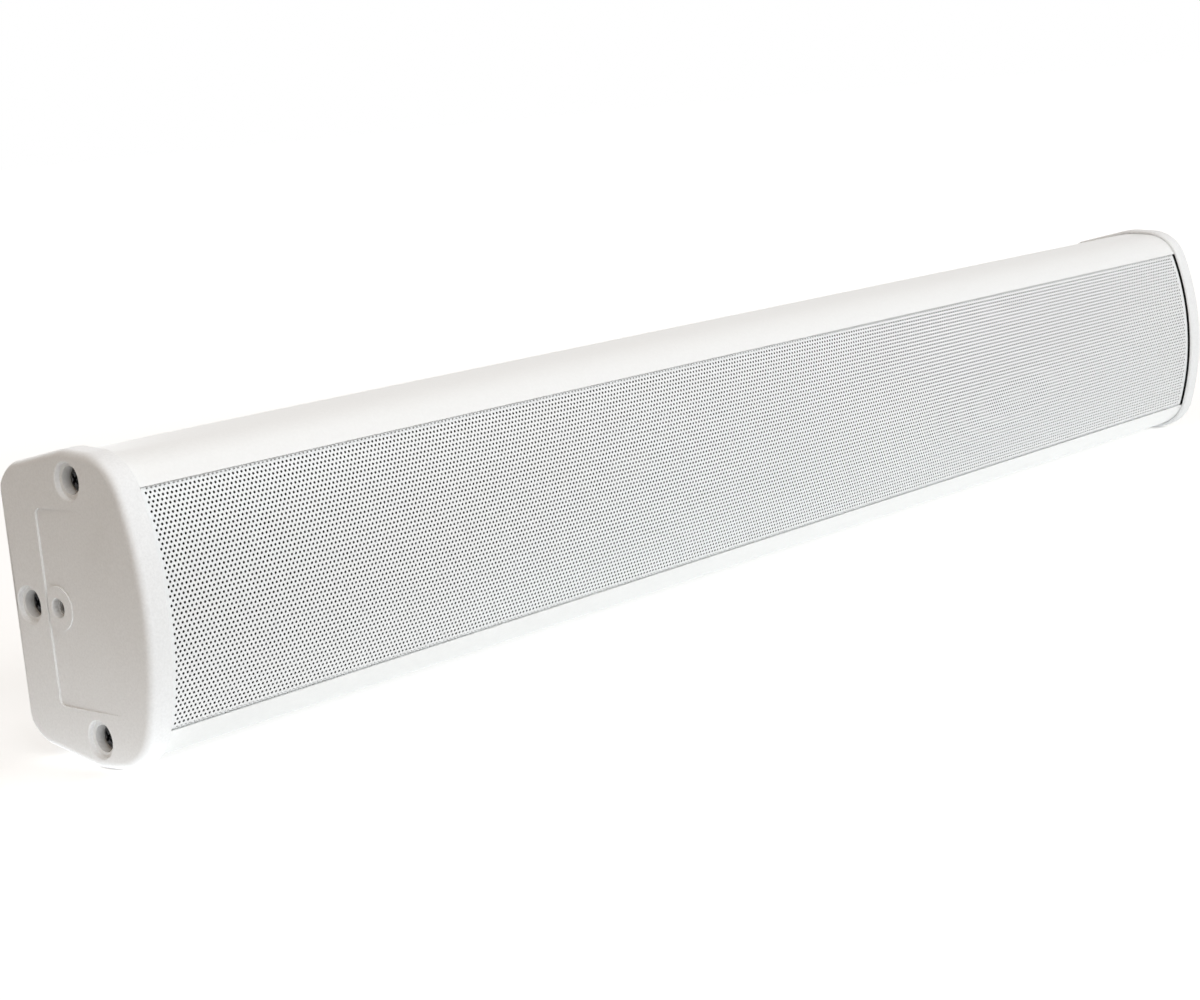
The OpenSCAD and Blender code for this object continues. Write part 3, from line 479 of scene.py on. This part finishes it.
base = coated_steel.node_tree.nodes["Principled BSDF"].inputs["Base Color"]
shade = add(coated_steel, "VectorMath", {0: base.links[0].from_socket, "Scale": white.outputs[0]},
            operation="SCALE")
coated_steel.node_tree.links.new(shade.outputs[0], base)

lengths = [net]
for count in range(1, grille_lengths):
    length = bpy.data.objects.new(f"grille_{count + 1}", net.data.copy())
    scene.collection.objects.link(length)
    for vertex in length.data.vertices:
        vertex.co.x += count * columns_each * hole_pitch
    lengths.append(length)

# The plain margins: the hexagons' open sides, which are longer than a hole's edges, are drawn out at both
# ends of the sheet, and then those along its two long borders, past the bend and to the folded edge
least_side = hole_pitch / 2
left_border = first_hole - 0.4 * hole_pitch
right_border = last_hole - 0.1 * hole_pitch
long_border = outer_row + 0.54 * mm
least_run = 0.1 * hole_pitch
extend(lengths[0], 0, [grille_low.x],
       lambda a, b: (a - b).length > least_side and max(a.x, b.x) < left_border)
extend(lengths[-1], 0, [grille_high.x],
       lambda a, b: (a - b).length > least_side and min(a.x, b.x) > right_border)
for length in lengths:
    for side in (-1, 1):
        extend(length, 1, [side * (flange_run + fold_lap), side * edge_run],
               lambda a, b: min(side * a.y, side * b.y) > long_border and abs(a.x - b.x) > least_run)
    shaped(length, grille_section)
    modify(length, "SOLIDIFY", thickness=sheet_thickness, offset=-1)
    bpy.ops.object.shade_smooth_by_angle(angle=grille_smooth)
    fit(length, coated_steel, "coated_steel", "grille")

# Gaskets: two rings of black foam rubber, stamped to the profile's section. Each is pinched between an end
# of the profile and its cap, so that nothing leaks or rattles. Rubber is matt black with a fine grain.
black_rubber = finish("moulded_black_rubber", ("#131314", "#1c1c1d"), 0.8 * mm, (0.6, 0.75), 0.02 * mm)
dress("gasket_rubber", black_rubber)

# End caps: off-white ABS mouldings with a fine spark-eroded grain on their outside, a shallow recess that
# locates a bracket, three counterbores and a boss. Each slips over the profile's end onto its gasket.
cap_face = 390 * mm
cap_edge = 0.3 * mm
lip_segments = 4
face_slack = 0.01 * mm
mouth_slack = 0.02
# The middles in Y and Z, the widths and the lips of the counterbores and of the boss's bore, in millimetres
mouths = [((-44.8, 48.2), 14.0, 0.8),
          ((-44.8, -48.2), 14.0, 0.8),
          ((-10.9, 0), 14.0, 0.8),
          ((-29.1, 0), 7.4, 0.5)]


def soften(piece, face, centre, width, lip):
    """Rounds the mouth of a round hole in a face square to X. The hole's sizes are in millimetres."""
    mesh = piece.data
    select_none(mesh)
    on_mouth = set()
    for vertex in mesh.vertices:
        out = hypot(vertex.co.y / mm - centre[0], vertex.co.z / mm - centre[1])
        if abs(vertex.co.x - face) < face_slack and abs(out - width / 2) < mouth_slack:
            on_mouth.add(vertex.index)
    for edge in mesh.edges:
        edge.select = on_mouth.issuperset(edge.vertices)
    select_only(piece)
    bpy.ops.object.mode_set(mode="EDIT")
    bpy.ops.mesh.select_mode(type="EDGE")
    bpy.ops.mesh.bevel(offset=lip * mm, segments=lip_segments, affect="EDGES")
    bpy.ops.object.mode_set(mode="OBJECT")


# Grained ABS is a softer white than the coat and nearly matt. Its real grain is finer than the picture can
# show, so it is drawn coarser, at 0.9 mm.
cap_plastic = finish("grained_abs", ("#ebecec", "#f3f4f4"), 0.9 * mm, (0.45, 0.6), 0.09 * mm)
for end, face in (("left", -cap_face), ("right", cap_face)):
    cap = plain(f"{end}_end_cap", f"{end}_cap")
    for centre, width, lip in mouths:
        soften(cap, face, centre, width, lip)
    rounded(cap, cap_edge)
    fit(cap, cap_plastic, "cap_plastic", f"{end}_end_cap")

# Screws: steel pan heads with a cross recess, three through each cap into the profile's ports and one in
# each boss, where it keeps the thread clean until a bracket is fitted. The plated steel's tone is darkened to
# stand in for the dark room it reflects, a painted reflection, so it catches light only on its rounded edges.
screw_edge = 0.15 * mm
screw_steel = finish("plated_screw_steel_painted_dark", ("#2e2e30", "#48484a"), 0.5 * mm, (0.3, 0.45), 0.01 * mm,
                     Metallic=1.0)
dress("screw_steel", screw_steel)
for end in ("left", "right"):
    for kind in ("cap_screws", "bracket_screw"):
        screws = rounded(plain(f"{end}_{kind}", f"{end}_{kind}_heads"), screw_edge)
        fit(screws, screw_steel, "screw_steel", f"{end}_{kind}")

# Cable grommet: a bush of the same black rubber as the gaskets, moulded with a groove round it and snapped
# into the right cap. Its hole is for the loudspeaker cable.
grommet_edge = 0.4 * mm
grommet = rounded(plain("cable_grommet", "grommet"), grommet_edge)
fit(grommet, black_rubber, "gasket_rubber", "cable_grommet")
